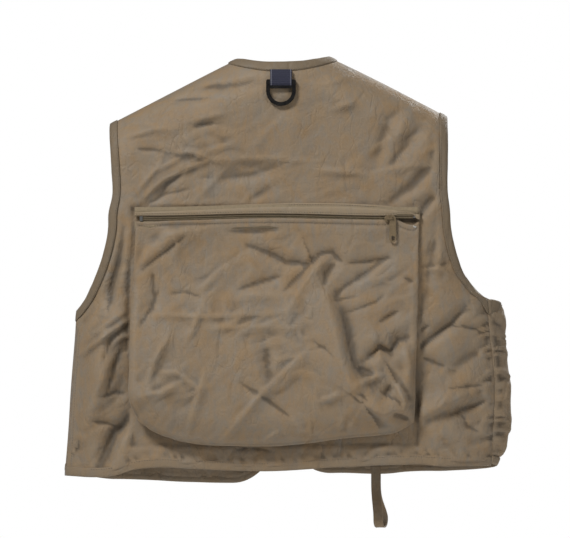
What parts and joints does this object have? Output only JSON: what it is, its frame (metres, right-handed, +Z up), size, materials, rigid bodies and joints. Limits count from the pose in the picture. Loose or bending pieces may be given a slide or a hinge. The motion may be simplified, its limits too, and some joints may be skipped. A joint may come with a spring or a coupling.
{
  "type": "fishing vest",
  "caption": "sleeveless khaki fishing vest, hung up, with zipped back cargo pocket, net ring, front zip, flapped pockets, rod strap and rod loop",
  "frame": {"origin": "midway between the two neck points of the shoulder seams, where a hanger carries the vest", "axes": "+X to the wearer's right, +Y the way the wearer faces (the back of the vest faces -Y), +Z up"},
  "size_m": [0.528, 0.1423, 0.5733],
  "materials": {
    "vest_cloth": "plain-woven khaki cotton and polyester, matt, creased",
    "edge_binding": "the same cloth folded double and stitched along both edges",
    "zip_tape": "herringbone-woven polyester tape, khaki",
    "zip_coil": "moulded nylon coil, khaki brown",
    "painted_metal": "die-cast zinc, khaki enamel, worn along its edges",
    "bright_metal": "bright pressed metal",
    "navy_webbing": "navy woven ribbon with a plain pale woven stripe near each edge",
    "black_plastic": "moulded black acetal, satin",
    "touch_tape": "hook-and-loop tape, khaki"
  },
  "bodies": {
    "vest_body": {"back_panel": "vest_cloth", "neck_band": "edge_binding", "back_hem_band": "edge_binding", "front_panel_right": "vest_cloth", "armhole_band_right": "edge_binding", "front_hem_band_right": "edge_binding", "chest_pocket_face_right": "vest_cloth", "chest_pocket_gusset_right": "vest_cloth", "chest_pocket_loop_tape_right": "touch_tape", "lower_pocket_face_right": "vest_cloth", "lower_pocket_gusset_right": "vest_cloth", "lower_pocket_loop_tape_right": "touch_tape", "front_panel_left": "vest_cloth", "armhole_band_left": "edge_binding", "front_hem_band_left": "edge_binding", "chest_pocket_face_left": "vest_cloth", "chest_pocket_gusset_left": "vest_cloth", "chest_pocket_loop_tape_left": "touch_tape", "lower_pocket_face_left": "vest_cloth", "lower_pocket_gusset_left": "vest_cloth", "lower_pocket_loop_tape_left": "touch_tape", "back_pocket_face": "vest_cloth", "back_pocket_gusset": "vest_cloth", "back_zip_coil_upper": "zip_coil", "back_zip_coil_lower": "zip_coil", "back_zip_tape_upper": "zip_tape", "back_zip_tape_lower": "zip_tape", "back_zip_bottom_stop": "bright_metal", "back_zip_top_stop_upper": "bright_metal", "back_zip_top_stop_lower": "bright_metal", "front_zip_coil_right": "zip_coil", "front_zip_tape_right": "zip_tape", "front_zip_top_stop_right": "bright_metal", "front_zip_coil_left": "zip_coil", "front_zip_tape_left": "zip_tape", "front_zip_top_stop_left": "bright_metal", "front_zip_pin": "bright_metal", "front_zip_box": "painted_metal", "ring_ribbon": "navy_webbing", "rod_tab_stud": "painted_metal"},
    "back_slider": {"back_zip_slider": "painted_metal"},
    "back_pull": {"back_zip_pull": "painted_metal"},
    "net_ring": {"net_ring": "black_plastic"},
    "front_slider": {"front_zip_slider": "painted_metal"},
    "front_pull": {"front_zip_pull": "painted_metal"},
    "chest_flap_right": {"chest_pocket_flap_right": "vest_cloth", "chest_pocket_hook_tape_right": "touch_tape"},
    "chest_flap_left": {"chest_pocket_flap_left": "vest_cloth", "chest_pocket_hook_tape_left": "touch_tape"},
    "lower_flap_right": {"lower_pocket_flap_right": "vest_cloth", "lower_pocket_hook_tape_right": "touch_tape"},
    "lower_flap_left": {"lower_pocket_flap_left": "vest_cloth", "lower_pocket_hook_tape_left": "touch_tape"},
    "rod_strap": {"rod_tab": "vest_cloth", "rod_tab_cap": "painted_metal"},
    "rod_loop": {"rod_loop": "vest_cloth"}
  },
  "joints": [
    {"name": "back_zip_slide", "type": "slide", "parent": "vest_body", "child": "back_slider", "axis": [1, 0, 0], "range_m": [-0.2895, 0.022]},
    {"name": "back_pull_swing", "type": "hinge", "parent": "back_slider", "child": "back_pull", "pos_m": [0.1314, -0.04715, -0.194], "axis": [0, -1, 0], "range_deg": [-35, 90]},
    {"name": "net_ring_swing", "type": "hinge", "parent": "vest_body", "child": "net_ring", "pos_m": [-0.0024, -0.04355, -0.0294], "axis": [-1, 0, 0], "range_deg": [0, 100]},
    {"name": "front_zip_slide", "type": "slide", "parent": "vest_body", "child": "front_slider", "axis": [0, 0, 1], "range_m": [0, 0.2252]},
    {"name": "front_pull_swing", "type": "hinge", "parent": "front_slider", "child": "front_pull", "pos_m": [0.005, 0.04935, -0.4411], "axis": [1, 0, 0], "range_deg": [0, 165]},
    {"name": "chest_flap_right_lift", "type": "hinge", "parent": "vest_body", "child": "chest_flap_right", "pos_m": [0.097, 0.04605, -0.194], "axis": [1, 0, 0], "range_deg": [0, 120]},
    {"name": "chest_flap_left_lift", "type": "hinge", "parent": "vest_body", "child": "chest_flap_left", "pos_m": [-0.097, 0.04605, -0.194], "axis": [1, 0, 0], "range_deg": [0, 120]},
    {"name": "lower_flap_right_lift", "type": "hinge", "parent": "vest_body", "child": "lower_flap_right", "pos_m": [0.122, 0.04605, -0.321], "axis": [1, 0, 0], "range_deg": [0, 100]},
    {"name": "lower_flap_left_lift", "type": "hinge", "parent": "vest_body", "child": "lower_flap_left", "pos_m": [-0.122, 0.04605, -0.321], "axis": [1, 0, 0], "range_deg": [0, 100]},
    {"name": "rod_strap_lift", "type": "hinge", "parent": "vest_body", "child": "rod_strap", "pos_m": [0.1, 0.04595, -0.097], "axis": [1, 0, 0], "range_deg": [0, 120]},
    {"name": "rod_loop_swing", "type": "hinge", "parent": "vest_body", "child": "rod_loop", "pos_m": [0.113, 0.04315, -0.5103], "axis": [1, 0, 0], "range_deg": [-50, 50]}
  ]
}
